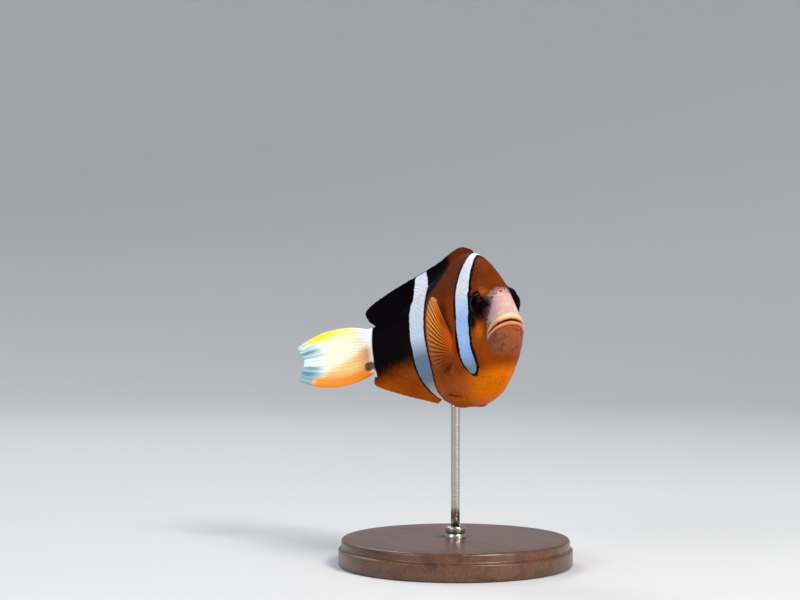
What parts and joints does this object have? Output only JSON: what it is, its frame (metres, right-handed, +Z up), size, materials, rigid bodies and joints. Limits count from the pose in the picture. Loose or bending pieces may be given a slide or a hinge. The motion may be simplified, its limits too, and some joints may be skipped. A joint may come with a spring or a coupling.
{
  "type": "clownfish",
  "caption": "Life-size clownfish with white bars and closed fins, its body bent in a turn, held by a rod over a round display base.",
  "frame": {"origin": "centre of the display base's underside", "axes": "+X along the trunk at the rod, towards the head; +Y to the fish's left; +Z up"},
  "size_m": [0.1049, 0.08, 0.1079],
  "materials": {
    "skin_orange": "satin, scaled",
    "skin_dark": "satin, scaled",
    "fin_black": "satin",
    "fin_orange": "satin",
    "fin_yellow": "satin",
    "eye_black": "polished",
    "stand_wood": "oiled",
    "stand_steel": "brushed"
  },
  "bodies": {
    "root": {"head": "skin_orange", "lower_jaw": "skin_orange", "gill_cover_left": "skin_orange", "gill_cover_right": "skin_orange", "trunk": "skin_dark", "tail_stalk": "skin_dark", "dorsal_fin_spiny": "fin_black", "dorsal_fin_soft": "fin_black", "anal_fin": "fin_orange", "tail_fin": "fin_yellow", "pectoral_fin_left": "fin_orange", "pectoral_fin_right": "fin_orange", "pelvic_fin_left": "fin_orange", "pelvic_fin_right": "fin_orange", "eye_left": "eye_black", "eye_right": "eye_black", "stand_base": "stand_wood", "stand_ferrule": "stand_steel", "stand_rod": "stand_steel"}
  },
  "joints": []
}
